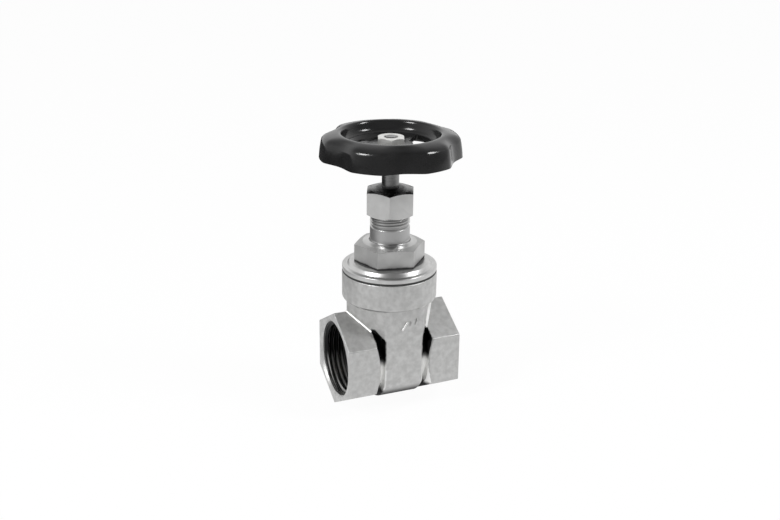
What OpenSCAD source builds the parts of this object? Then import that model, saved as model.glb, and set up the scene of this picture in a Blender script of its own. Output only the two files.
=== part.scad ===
// One-inch screwed gate valve with a non-rising stem: a forged body with two
// hexagonal threaded ends, a screwed bonnet with its gland, a wedge gate and a
// lobed handwheel held on the stem by a hexagon nut.
// Millimetres. Origin: centre of the inlet end face, +X along the pipe from
// inlet to outlet, +Z up along the stem. The gate is drawn fully open.

/* [Body] */
// Length of the body between its two end faces
body_length = 52.6; // [50:0.2:60]
// Width across the flats of the hexagonal ends
end_af = 38; // [37:0.5:41]
// Length of a hexagonal end, measured along its corners
end_width = 12.8; // [11:0.2:13.6]
// Radius of the threaded port, to the bottom of its thread
port_r = 16.62; // [16.4:0.02:16.8]
// Depth of the threaded port
port_depth = 11; // [9:0.5:11]
// Radius of the waterway through the seats
bore_r = 12; // [10:0.5:12]
// Radius of the collar under the bonnet
collar_r = 20.9; // [20:0.1:22]
// Height of the gasket face above the pipe axis
collar_top = 38.9; // [38:0.1:40]
// Distance between the two flat sides of the chest
chest_width = 35.2; // [34.8:0.2:38]
// Radius of the rounded underside of the chest
chest_r = 19.7; // [19:0.1:21]

/* [Gate] */
// Radius of the wedge disc
gate_r = 13.6; // [13:0.1:13.6]
// Thickness of the wedge on its own axis
gate_t = 11.8; // [10:0.2:11.8]
// Slope of each seat, in degrees
seat_slope = 4; // [3:0.5:4]
// Number of turns from open to closed
turns = 7.25; // [6:0.25:7.25]
// Lead of the stem screw
lead = 3.6; // [3:0.1:3.6]

/* [Bonnet] */
// Radius of the bonnet flange
flange_r = 20.8; // [20:0.1:21]
// Width across the flats of the bonnet hexagon
bonnet_af = 27.2; // [26:0.2:29]
// Outer radius of the threaded neck
neck_r = 8.7; // [8.5:0.1:9]
// Width across the flats of the gland nut
gland_af = 19.8; // [19.4:0.2:21]
// Height of the gland nut
gland_h = 12.1; // [11:0.1:13]

/* [Stem and handwheel] */
// Radius of the stem above the bonnet
stem_r = 3.74; // [3.5:0.02:4]
// Largest radius of the handwheel, at its lower edge
wheel_r = 30.5; // [29:0.5:33]
// Number of finger hollows round the handwheel
lobes = 6; // [5:1:8]
// Depth of a finger hollow
hollow_depth = 2.6; // [1.5:0.1:2.8]
// Width across the flats of the wheel nut
wheel_nut_af = 11; // [10:0.5:11.5]

/* [Hidden] */
$fn = 96;
xs = body_length / 2;                 // the stem's place on the pipe axis
end_r = end_af / sqrt(3);
travel = turns * lead;
tan_s = tan(seat_slope);
gate_half = gate_t / 2;
seat_gap = 0.15;
round_floor = 19.6;
cavity_r = 15.3;
bonnet_thread_r = 17.5;
skirt_bottom = 28.6;
gasket_t = 0.8;
flange_z = collar_top + gasket_t;
flange_t = 2.2;
hex_z = 43.9;
crown_z = 52.8;
crown_r = 9.6;
box_r = 6.6;                          // stuffing box
box_z = 54;
neck_top = 71.6;
collar_z = 54.1;
collar_h = 3;
screw_r = 4;
screw_end = 14.6;
run = 0.08;                           // radial running clearance of the stem
gland_z = 64.2;
gland_top = gland_z + gland_h;
gland_r = gland_af / sqrt(3);
hub_z = 93.9;                         // underside of the wheel's web
hub_top = 95.8;
stem_top = 99;
square_w = 5.2;                       // the square that drives the handwheel
tip_r = 3;
nut_h = 3;
spoke = 11;                           // width of a spoke of the handwheel
hollow_r = 30;                        // radius of a finger hollow's own curve

// ---------------------------------------------------------------- helpers
module at_stem(z = 0) { translate([xs, 0, z]) children(); }
module hex_bar(af, h) { rotate([0, 0, 30]) cylinder(r = af / sqrt(3), h = h, $fn = 6); }
// a bar along +X that starts at the given x
module along_x(x) { translate([x, 0, 0]) rotate([0, 90, 0]) children(); }

// ------------------------------------------------------------------- body
module end_hex() {
    // corners point up and down, and the inner end is turned with a cone
    intersection() {
        along_x(0) cylinder(r = end_r, h = end_width + 2, $fn = 6);
        along_x(0) rotate_extrude() polygon([[0, 0], [end_r - 0.3, 0], [end_r + 0.4, 0.6],
            [end_r + 0.4, end_width - 0.3], [end_af / 2 - 0.6, end_width + 2], [0, end_width + 2]]);
    }
}
module chest_outline(c = 20.3) {
    h = chest_width / 2;
    polygon([[-c, 0], [-8.85, -h], [8.85, -h], [c, 0], [8.85, h], [-8.85, h]]);
}
module body_outside() {
    end_hex();
    translate([body_length, 0, 0]) mirror([1, 0, 0]) end_hex();
    // the round neck that joins the two ends
    along_x(end_width - 1) cylinder(r = 15.8, h = body_length - 2 * end_width + 2);
    // the flat-sided chest with its rounded underside
    intersection() {
        translate([xs - 8.85, -chest_width / 2, -chest_r]) cube([17.7, chest_width, chest_r + 20]);
        union() {
            along_x(xs - 9) cylinder(r = chest_r, h = 18);
            translate([xs - 9, -chest_r, 0]) cube([18, 2 * chest_r, 30]);
        }
    }
    // the six-sided shoulder over it
    at_stem(13.2) linear_extrude(13.2) chest_outline();
    // the collar
    at_stem() rotate_extrude() polygon([[0, 22], [16, 22], [17.2, 25.4], [20.3, 26.8],
        [collar_r, 27.6], [collar_r, collar_top], [0, collar_top]]);
}
module wedge_prism(half, r, z0, z1) {
    // the space between the two seat planes, r wide each way
    translate([0, r, 0]) rotate([90, 0, 0]) linear_extrude(2 * r)
        polygon([[-(half + z0 * tan_s), z0], [half + z0 * tan_s, z0],
                 [half + z1 * tan_s, z1], [-(half + z1 * tan_s), z1]]);
}
module body() color("Silver") difference() {
    body_outside();
    // waterway and the two threaded ports
    along_x(-1) cylinder(r = bore_r, h = body_length + 2);
    for (s = [0, 1]) translate([s * body_length, 0, 0]) mirror([s, 0, 0]) {
        along_x(-1) cylinder(r = port_r, h = port_depth + 1);
        along_x(-0.01) cylinder(r1 = port_r + 0.75, r2 = port_r, h = 0.75);
    }
    // pocket for the wedge between the two seats
    at_stem() intersection() {
        wedge_prism(gate_half + seat_gap, 14.6, -16, 24);
        union() {
            along_x(-12) cylinder(r = 15.2, h = 24);
            translate([-12, -14.6, 0]) cube([24, 29.2, 24]);
        }
    }
    // round chamber and the thread for the bonnet
    at_stem(round_floor) cylinder(r = cavity_r, h = 30);
    at_stem(skirt_bottom - 0.6) cylinder(r = bonnet_thread_r, h = 30);
}

// ----------------------------------------------------------------- bonnet
module bonnet_outside() {
    rotate_extrude() polygon([[0, skirt_bottom], [bonnet_thread_r, skirt_bottom],
        [bonnet_thread_r, flange_z], [flange_r, flange_z], [flange_r, flange_z + flange_t - 0.4],
        [flange_r - 0.4, flange_z + flange_t], [18.3, flange_z + flange_t],
        [17.9, flange_z + flange_t + 1], [17, hex_z - 0.2], [16, hex_z], [0, hex_z]]);
    intersection() {
        translate([0, 0, hex_z - 1]) rotate([0, 0, 17.8]) hex_bar(bonnet_af, 12);
        rotate_extrude() polygon([[0, hex_z - 1], [20, hex_z - 1], [20, crown_z - 2.7],
            [crown_r, crown_z], [0, crown_z]]);
    }
    rotate_extrude() polygon([[0, crown_z - 1], [neck_r, crown_z - 1], [neck_r, neck_top - 0.6],
        [neck_r - 0.6, neck_top], [0, neck_top]]);
}
module bonnet() at_stem() color("LightGray") difference() {
    bonnet_outside();
    // dome over the open wedge
    rotate_extrude() polygon([[0, skirt_bottom - 1], [15.6, skirt_bottom - 1], [15.6, 38.4],
        [11, 42.4], [11, 46.6], [screw_r + run, 46.6], [screw_r + run, box_z],
        [box_r, box_z], [box_r, neck_top + 1], [0, neck_top + 1]]);
}
module bonnet_gasket() at_stem() color("DimGray") rotate_extrude()
    translate([bonnet_thread_r, collar_top]) square([collar_r - 0.2 - bonnet_thread_r, gasket_t]);

module packing() at_stem() color("DarkSlateGray") rotate_extrude()
    translate([stem_r + run, collar_z + collar_h + 0.05]) square([box_r - stem_r - run, 9.6]);

module gland_follower() at_stem() color("Gold") rotate_extrude() {
    z0 = collar_z + collar_h + 9.65;
    z1 = gland_top - 2.8;
    polygon([[stem_r + run, z0], [box_r - 0.05, z0], [box_r - 0.05, z1], [stem_r + run, z1]]);
}
module gland_nut() at_stem() color("LightGray") difference() {
    intersection() {
        translate([0, 0, gland_z]) rotate([0, 0, 35.5]) hex_bar(gland_af, gland_h);
        rotate_extrude() polygon([[0, gland_z], [neck_r + 0.1, gland_z], [13, gland_z + 2.5],
            [13, gland_top - 1.7], [gland_af / 2 - 0.8, gland_top], [0, gland_top]]);
    }
    rotate_extrude() polygon([[0, gland_z - 1], [neck_r, gland_z - 1],
        [neck_r, gland_top - 2.8], [stem_r + run, gland_top - 2.8], [stem_r + run, gland_top + 1],
        [0, gland_top + 1]]);
}

// ------------------------------------------------------------ moving parts
module stem() at_stem() color("Goldenrod") {
    rotate_extrude() polygon([[0, screw_end], [screw_r - 0.8, screw_end], [screw_r, screw_end + 0.8],
        [screw_r, collar_z], [box_r - run, collar_z], [box_r - run, collar_z + collar_h],
        [stem_r, collar_z + collar_h], [stem_r, hub_z], [0, hub_z]]);
    translate([-square_w / 2, -square_w / 2, hub_z - 1]) cube([square_w, square_w, hub_top - hub_z + 0.8]);
    rotate_extrude() polygon([[0, hub_top - 1], [tip_r, hub_top - 1], [tip_r, stem_top - 0.5],
        [tip_r - 0.5, stem_top], [0, stem_top]]);
}
module gate() at_stem(travel) color("Goldenrod") difference() {
    intersection() {
        wedge_prism(gate_half, 14, -14, 20);
        union() {
            along_x(-12) cylinder(r = gate_r, h = 24);
            translate([0, 0, 10]) cylinder(r = 7.4, h = 7);
        }
    }
    translate([0, 0, screw_end - travel - 0.6]) cylinder(r = screw_r + 0.1, h = 60);
}
module finger_hollows(t) {
    // upright cylinders that press the rim in; t is the wall left behind them
    for (i = [0 : lobes - 1]) rotate([0, 0, 17.5 + i * 360 / lobes])
        translate([wheel_r - hollow_depth + hollow_r, 0, 80]) cylinder(r = hollow_r + t, h = 30);
}
module rim_outside() rotate_extrude() polygon([[0, 89.9], [wheel_r - 0.1, 89.9], [wheel_r, 90.2],
    [30.2, 93], [29.8, 96], [29.4, 97.9], [28.8, 98.9], [27.6, 99.6], [25.4, 100.3], [23.2, 100.8],
    [22.2, 100.9], [21.5, 100.4], [21, 99.2], [20.5, 97.6], [19.9, 96.5], [19, 96],
    [17.5, hub_top], [0, hub_top]]);
module rim_inside() rotate_extrude() polygon([[0, 89], [wheel_r - 2, 89], [28.2, 93], [27.8, 96],
    [27.4, 97.2], [26.8, 97.8], [25, 98.4], [23.4, 98.8], [22.9, 98.2], [22.5, 96.9], [21.9, 95.4],
    [20.9, 94.4], [19.2, 94], [17.5, hub_z], [0, hub_z]]);
module handwheel() at_stem() color("Black") difference() {
    difference() {
        difference() { rim_outside(); finger_hollows(0); }
        difference() { rim_inside(); finger_hollows(1.9); }
    }
    translate([-square_w / 2, -square_w / 2, hub_z - 1]) cube([square_w, square_w, 10]);
    // three windows between the spokes
    for (i = [0 : 2]) rotate([0, 0, 47.5 + i * 120]) window();
}
module window() translate([0, 0, 88]) linear_extrude(9) difference() {
    circle(r = 18.2);
    circle(r = 9.4);
    // what is kept: the spokes on each side, and everything outside the sector
    for (a = [0, 120]) rotate([0, 0, a]) translate([0, -spoke / 2]) square([30, spoke]);
    rotate([0, 0, 120]) square([40, 40]);
    translate([-40, -40]) square([80, 40]);
    translate([-40, -1]) square([25, 10]);
}
module wheel_nut() at_stem(hub_top) color("LightGray") difference() {
    intersection() {
        rotate([0, 0, 38]) hex_bar(wheel_nut_af, nut_h);
        rotate_extrude() polygon([[0, 0], [7, 0], [7, nut_h - 0.9],
            [wheel_nut_af / 2 + 0.1, nut_h], [0, nut_h]]);
    }
    translate([0, 0, -1]) cylinder(r = tip_r, h = nut_h + 2);
}

body();
bonnet();
bonnet_gasket();
packing();
gland_follower();
gland_nut();
stem();
gate();
handwheel();
wheel_nut();
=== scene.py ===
"""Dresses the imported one-inch screwed gate valve and sets up the studio around it."""

import logging
import math
from dataclasses import dataclass, field
from enum import Enum
from functools import cache, reduce
from typing import Callable, ClassVar, Iterable, Optional, Sequence

import bmesh
import bpy
from mathutils import Matrix, Vector


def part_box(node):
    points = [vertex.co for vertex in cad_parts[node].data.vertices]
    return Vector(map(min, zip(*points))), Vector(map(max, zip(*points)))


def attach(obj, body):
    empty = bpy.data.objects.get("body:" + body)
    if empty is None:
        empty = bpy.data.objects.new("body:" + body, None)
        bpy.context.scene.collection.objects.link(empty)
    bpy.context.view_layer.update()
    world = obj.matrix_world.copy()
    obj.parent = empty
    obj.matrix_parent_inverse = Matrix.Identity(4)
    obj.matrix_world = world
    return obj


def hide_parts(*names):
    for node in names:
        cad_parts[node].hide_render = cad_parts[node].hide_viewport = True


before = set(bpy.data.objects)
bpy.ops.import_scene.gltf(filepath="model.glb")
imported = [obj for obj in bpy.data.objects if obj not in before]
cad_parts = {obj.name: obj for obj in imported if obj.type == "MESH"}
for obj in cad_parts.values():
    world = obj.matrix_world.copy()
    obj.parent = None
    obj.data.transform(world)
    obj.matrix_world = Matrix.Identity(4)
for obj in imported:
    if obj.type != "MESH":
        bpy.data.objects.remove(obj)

logging.basicConfig(level=logging.INFO, format="%(levelname)s %(message)s")
log = logging.getLogger("gate_valve")

MM = 0.001
WHITE = (1.0, 1.0, 1.0, 1.0)
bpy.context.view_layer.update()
Profile = Sequence[tuple[float, float]]
Colour = tuple[float, float, float]
Feed = float | Sequence[float] | bpy.types.NodeSocket


class Axis(Enum):
    """The two axes that this valve's turned shapes are spun about."""

    PIPE = "pipe"
    STEM = "stem"


class Measure(Enum):
    """What the fade of a dirty place or of painted light looks at, in millimetres: an output of the
    shared group.
    """

    FROM_STEM = "From Stem"
    FROM_PIPE = "From Pipe"
    FROM_END = "From End"
    FROM_MIDDLE = "From Middle"
    HEIGHT = "Height"


class Cut(Enum):
    """What a boolean does with its second shape."""

    REMOVE = "DIFFERENCE"
    KEEP_COMMON = "INTERSECT"
    JOIN = "UNION"


# --------------------------------------------------------------------- shaping
class Bench:
    """Mesh tools that every sub-assembly shares. Sizes are in millimetres until `finish`.

    A thread ridge reaches FOOT_SHARE of its pitch to each side at the wall, and TIP_SHARE of that
    at its crest. At both ends it grows from the share LEAST of its height to the whole of it, in
    1 / RUN_OUT of a turn.
    """

    FOOT_SHARE = 0.47
    TIP_SHARE = 0.16
    RUN_OUT = 5.0
    LEAST = 0.02

    @staticmethod
    def turned(profile: Profile, steps: int = 128) -> bmesh.types.BMesh:
        """Spins a closed outline of (radius, height) points into a turned solid about Z.

        Args:
            profile: corner points of the outline, in order.
            steps: number of segments round the axis.

        Returns:
            A closed bmesh with outward faces.
        """
        bm = bmesh.new()
        verts = [bm.verts.new((r, 0.0, z)) for r, z in profile]
        edges = [bm.edges.new((a, b)) for a, b in zip(verts, verts[1:] + verts[:1])]
        bmesh.ops.spin(bm, geom=verts + edges, cent=(0, 0, 0), axis=(0, 0, 1),
                       angle=math.tau, steps=steps, use_merge=True)
        Bench.clean(bm)
        bmesh.ops.recalc_face_normals(bm, faces=bm.faces)
        return bm

    @staticmethod
    def clean(bm: bmesh.types.BMesh, reach: float = 1e-4) -> bmesh.types.BMesh:
        """Merges doubles and takes out what has no area, so that a closed shape stays closed.

        Args:
            bm: the shape, in millimetres.
            reach: corners closer than this become one.

        Returns:
            The same bmesh.
        """
        bmesh.ops.remove_doubles(bm, verts=bm.verts, dist=reach)
        bmesh.ops.dissolve_degenerate(bm, edges=bm.edges, dist=reach / 10)
        bmesh.ops.delete(bm, geom=[e for e in bm.edges if e.is_wire], context="EDGES")
        bmesh.ops.delete(bm, geom=[v for v in bm.verts if not v.link_edges], context="VERTS")
        return bm

    @staticmethod
    def eased(profile: Profile, radius: float, segments: int = 3,
              keep: Iterable[int] = ()) -> list[tuple[float, float]]:
        """Rounds the corners of a closed outline with the vertex bevel.

        Args:
            profile: corner points of the outline.
            radius: how far the rounding reaches along each side.
            segments: number of facets in a corner.
            keep: indices of corners that stay sharp.

        Returns:
            The new outline, in the same order.
        """
        bm = bmesh.new()
        verts = [bm.verts.new((r, 0.0, z)) for r, z in profile]
        bm.faces.new(verts)
        kept = set(keep)
        chosen = [v for i, v in enumerate(verts) if i not in kept]
        bmesh.ops.bevel(bm, geom=chosen, offset=radius, offset_type="OFFSET", affect="VERTICES",
                        segments=segments, profile=0.5, material=-1, clamp_overlap=True)
        face = max(bm.faces, key=lambda f: f.calc_area())
        points = [(v.co.x, v.co.z) for v in (loop.vert for loop in face.loops)]
        bm.free()
        return points

    @staticmethod
    def hexagon(af: float, low: float, high: float, corner: float) -> bmesh.types.BMesh:
        """Extrudes a hexagon upwards.

        Args:
            af: width across the flats.
            low: height of its lower end.
            high: height of its upper end.
            corner: angle of one corner, in degrees.

        Returns:
            A closed bmesh.
        """
        bm = bmesh.new()
        spot = Matrix.Translation((0, 0, low)) @ Matrix.Rotation(math.radians(corner - 90.0), 4, "Z")
        bmesh.ops.create_circle(bm, cap_ends=True, segments=6, radius=af / math.sqrt(3), matrix=spot)
        return Bench.extruded(bm, (0, 0, high - low))

    @staticmethod
    def sheet(corners: Iterable[Sequence[float]]) -> bmesh.types.BMesh:
        """Makes one flat face.

        Args:
            corners: its corners, in order.

        Returns:
            An open bmesh with that face.
        """
        bm = bmesh.new()
        bm.faces.new([bm.verts.new(corner) for corner in corners])
        return bm

    @staticmethod
    def extruded(bm: bmesh.types.BMesh, along: Sequence[float]) -> bmesh.types.BMesh:
        """Makes a closed block of a sheet by pulling all of its faces.

        Args:
            bm: the sheet.
            along: how far and which way it is pulled.

        Returns:
            The same bmesh, with outward faces.
        """
        made = bmesh.ops.extrude_face_region(bm, geom=list(bm.faces))
        pulled = [g for g in made["geom"] if isinstance(g, bmesh.types.BMVert)]
        bmesh.ops.translate(bm, verts=pulled, vec=along)
        bmesh.ops.recalc_face_normals(bm, faces=bm.faces)
        return bm

    @staticmethod
    def ridge(root: float, crest: float, pitch: float, low: float, turns: float,
              steps: int = 72, starts: int = 1) -> bmesh.types.BMesh:
        """Sweeps a thread ridge about Z with a rising spin.

        Args:
            root: radius where the ridge grows from the wall.
            crest: radius of its tip, larger or smaller than the root.
            pitch: rise in one turn.
            low: height where it starts.
            turns: number of turns.
            steps: segments in a turn.
            starts: number of ridges side by side.

        Returns:
            A closed bmesh, tapered to nothing at both ends.
        """
        bm = bmesh.new()
        half = pitch / starts * Bench.FOOT_SHARE
        for k in range(starts):
            turn = Matrix.Rotation(math.tau * k / starts, 4, "Z")
            tip = half * Bench.TIP_SHARE
            ring = [(root, -half), (crest, -tip), (crest, tip), (root, half)]
            verts = [bm.verts.new(turn @ Vector((r, 0.0, low + z))) for r, z in ring]
            edges = [bm.edges.new((a, b)) for a, b in zip(verts, verts[1:] + verts[:1])]
            count = max(8, round(steps * turns))
            ends = bmesh.ops.spin(bm, geom=verts + edges, cent=(0, 0, 0), axis=(0, 0, 1),
                                  angle=math.tau * turns, steps=count,
                                  dvec=(0, 0, pitch * turns / count))
            bm.faces.new(verts)
            bm.faces.new([g for g in ends["geom_last"] if isinstance(g, bmesh.types.BMVert)])
        reach = abs(crest - root)
        for v in bm.verts:
            radius = math.hypot(v.co.x, v.co.y)
            if abs(radius - root) < reach / 2:
                continue
            done = (v.co.z - low) / (pitch * turns)
            ease = min(1.0, min(done, 1.0 - done) * turns * Bench.RUN_OUT)
            goal = root + (crest - root) * max(ease, Bench.LEAST)
            v.co.x *= goal / radius
            v.co.y *= goal / radius
        bmesh.ops.recalc_face_normals(bm, faces=bm.faces)
        return bm

    @staticmethod
    def place(bm: bmesh.types.BMesh, axis: Axis, start: float = 0.0,
              flip: bool = False) -> bmesh.types.BMesh:
        """Moves a shape that was made about Z to its own axis.

        Args:
            bm: the shape.
            axis: the axis that its own Z goes to.
            start: where its own origin goes along the pipe.
            flip: True to start at the outlet and point back along the pipe.

        Returns:
            The same bmesh.
        """
        if axis is Axis.PIPE:
            turn = Matrix.Rotation(math.radians(-90 if flip else 90), 4, "Y")
            at = Vector((ValveAxes.LENGTH if flip else start, 0, 0))
        else:
            turn, at = Matrix.Identity(4), Vector((ValveAxes.STEM_X, 0, 0))
        bmesh.ops.transform(bm, matrix=Matrix.Translation(at) @ turn, verts=bm.verts)
        return bm

    @staticmethod
    def carve(base: bmesh.types.BMesh, tool: bmesh.types.BMesh, how: Cut) -> bmesh.types.BMesh:
        """Applies an exact boolean of two shapes.

        Args:
            base: the shape that is changed; it is used up.
            tool: the second shape; it is used up.
            how: what the boolean does.

        Returns:
            A new bmesh with the result.
        """
        objs = []
        for name, bm in (("carve_base", base), ("carve_tool", tool)):
            mesh = bpy.data.meshes.new(name)
            bm.to_mesh(mesh)
            bm.free()
            obj = bpy.data.objects.new(name, mesh)
            bpy.context.scene.collection.objects.link(obj)
            objs.append(obj)
        mod = objs[0].modifiers.new("cut", "BOOLEAN")
        mod.operation, mod.solver, mod.object = how.value, "EXACT", objs[1]
        bpy.context.view_layer.update()
        shaped = objs[0].evaluated_get(bpy.context.evaluated_depsgraph_get())
        out = bmesh.new()
        out.from_mesh(shaped.to_mesh())
        shaped.to_mesh_clear()
        for obj in objs:
            mesh = obj.data
            bpy.data.objects.remove(obj)
            bpy.data.meshes.remove(mesh)
        return Bench.clean(out)

    @staticmethod
    def soften(bm: bmesh.types.BMesh, width: float, angle: float = 28.0, segments: int = 3,
               only: Optional[Callable[[bmesh.types.BMEdge], bool]] = None) -> bmesh.types.BMesh:
        """Rounds every edge that is sharper than an angle.

        Args:
            bm: the shape.
            width: reach of the rounding, in the mesh's own unit.
            angle: the smallest edge angle that is rounded, in degrees.
            segments: facets in a rounding.
            only: a further test that an edge has to pass.

        Returns:
            The same bmesh.
        """
        limit = math.radians(angle)
        sharp = [e for e in bm.edges if e.is_manifold and e.calc_face_angle(0.0) > limit
                 and (only is None or only(e))]
        if sharp:
            bmesh.ops.bevel(bm, geom=sharp, offset=width, offset_type="OFFSET", affect="EDGES",
                            segments=segments, profile=0.5, material=-1, clamp_overlap=True,
                            miter_outer="ARC", miter_inner="ARC", loop_slide=True)
        return bm

    @staticmethod
    def from_node(node: str, flat: float = 0.6) -> bmesh.types.BMesh:
        """Copies a solid of the frame, merged and with its flat triangles made whole faces.

        Args:
            node: the solid's name.
            flat: the angle under which neighbouring faces become one, in degrees.

        Returns:
            A bmesh in millimetres.
        """
        bm = bmesh.new()
        bm.from_mesh(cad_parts[node].data)
        bmesh.ops.scale(bm, vec=(1 / MM,) * 3, verts=bm.verts)
        bmesh.ops.remove_doubles(bm, verts=bm.verts, dist=2e-3)
        bmesh.ops.dissolve_limit(bm, angle_limit=math.radians(flat), verts=bm.verts,
                                 edges=bm.edges, use_dissolve_boundaries=False)
        return bm

    @staticmethod
    def merge(parts: Iterable[bmesh.types.BMesh]) -> bmesh.types.BMesh:
        """Puts several shapes in one mesh without cutting them."""
        out = bmesh.new()
        for bm in parts:
            mesh = bpy.data.meshes.new("merge")
            bm.to_mesh(mesh)
            bm.free()
            out.from_mesh(mesh)
            bpy.data.meshes.remove(mesh)
        return out

    @staticmethod
    def finish(bm: bmesh.types.BMesh, name: str, material: bpy.types.Material,
               smooth_angle: float = 32.0, second: Optional[bpy.types.Material] = None,
               where: Optional[Callable[[bmesh.types.BMFace], bool]] = None,
               tidy: bool = True) -> bpy.types.Object:
        """Turns a shape into a shown object with weighted, smooth shading.

        Args:
            bm: the shape, in millimetres; it is used up.
            name: name of the object.
            material: its finish.
            smooth_angle: edges sharper than this stay crisp, in degrees.
            second: the finish of some of the faces.
            where: tells which faces get the second finish, with the shape still in millimetres.
            tidy: whether corners closer than a few micrometres are merged first.

        Returns:
            The new object, at the origin.
        """
        if second and where:
            for face in bm.faces:
                face.material_index = int(where(face))
        if tidy:
            Bench.clean(bm, 2e-3)
        bmesh.ops.scale(bm, vec=(MM,) * 3, verts=bm.verts)
        for face in bm.faces:
            face.smooth = True
        limit = math.radians(smooth_angle)
        for edge in bm.edges:
            edge.smooth = not (edge.is_manifold and edge.calc_face_angle(0.0) > limit)
        mesh = bpy.data.meshes.new(name)
        bm.to_mesh(mesh)
        bm.free()
        mesh.materials.append(material)
        if second:
            mesh.materials.append(second)
        obj = bpy.data.objects.new(name, mesh)
        bpy.context.scene.collection.objects.link(obj)
        weigh = obj.modifiers.new("weighted", "WEIGHTED_NORMAL")
        weigh.keep_sharp = True
        weigh.weight = 80
        return obj


# -------------------------------------------------------------------- finishes
class Wiring:
    """Adds nodes to one tree and links them, so that the tree reads as a formula."""

    def __init__(self, tree: bpy.types.NodeTree) -> None:
        """Takes the tree that gets the nodes."""
        self.tree = tree

    @classmethod
    def group(cls, name: str, inputs: dict[str, float], outputs: Iterable[str]) -> "Wiring":
        """Starts a node group with float sockets.

        Args:
            name: name of the group.
            inputs: input names and their defaults.
            outputs: output names.

        Returns:
            The wiring of the new group.
        """
        tree = bpy.data.node_groups.new(name, "ShaderNodeTree")
        for label, value in inputs.items():
            sock = tree.interface.new_socket(label, in_out="INPUT", socket_type="NodeSocketFloat")
            sock.default_value = value
        for label in outputs:
            tree.interface.new_socket(label, in_out="OUTPUT", socket_type="NodeSocketFloat")
        tree.nodes.new("NodeGroupInput").name = "in"
        tree.nodes.new("NodeGroupOutput").name = "out"
        return cls(tree)

    def feed(self, node: bpy.types.Node, inputs: dict[str | int, Feed]) -> None:
        """Sets or links inputs of a node.

        Args:
            node: the node.
            inputs: for each input, a plain value or the socket that it is linked to.
        """
        for label, value in inputs.items():
            if isinstance(value, bpy.types.NodeSocket):
                self.tree.links.new(value, node.inputs[label])
            else:
                node.inputs[label].default_value = value

    def add(self, kind: str, inputs: Optional[dict[str | int, Feed]] = None,
            **settings: str | bpy.types.NodeTree) -> bpy.types.NodeOutputs:
        """Adds a node.

        Args:
            kind: its type, without the leading "ShaderNode".
            inputs: what its inputs get.
            settings: its own properties.

        Returns:
            Its outputs.
        """
        node = self.tree.nodes.new("ShaderNode" + kind)
        for name, value in settings.items():
            setattr(node, name, value)
        self.feed(node, inputs or {})
        return node.outputs

    def maths(self, operation: str, *values: Feed) -> bpy.types.NodeSocket:
        """Adds one Math node and returns its output."""
        return self.add("Math", dict(enumerate(values)), operation=operation)["Value"]

    def span(self, first: Feed, second: Feed) -> bpy.types.NodeSocket:
        """Returns the length of two legs at right angles."""
        squares = [self.maths("MULTIPLY", leg, leg) for leg in (first, second)]
        return self.maths("SQRT", self.maths("ADD", *squares))

    def fade(self, value: Feed, reach: Sequence[float], to: Sequence[float] = (0.0, 1.0),
             shape: str = "LINEAR") -> bpy.types.NodeSocket:
        """Maps a value from one span to another and holds it there.

        Args:
            value: what is mapped.
            reach: the span it comes from.
            to: the span it goes to.
            shape: how it eases between the two ends.

        Returns:
            The mapped value.
        """
        ends = {"From Min": reach[0], "From Max": reach[1], "To Min": to[0], "To Max": to[1]}
        return self.add("MapRange", {"Value": value, **ends}, interpolation_type=shape)["Result"]

    def mix(self, share: Feed, first: Feed, second: Feed, kind: str = "FLOAT") -> bpy.types.NodeSocket:
        """Blends two values or colours.

        Args:
            share: how much of the second one shows.
            first: what is there at a share of 0.
            second: what is there at a share of 1.
            kind: FLOAT or RGBA.

        Returns:
            The blend.
        """
        return self.add("Mix", {"Factor": share, "A": first, "B": second}, data_type=kind)["Result"]


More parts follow.
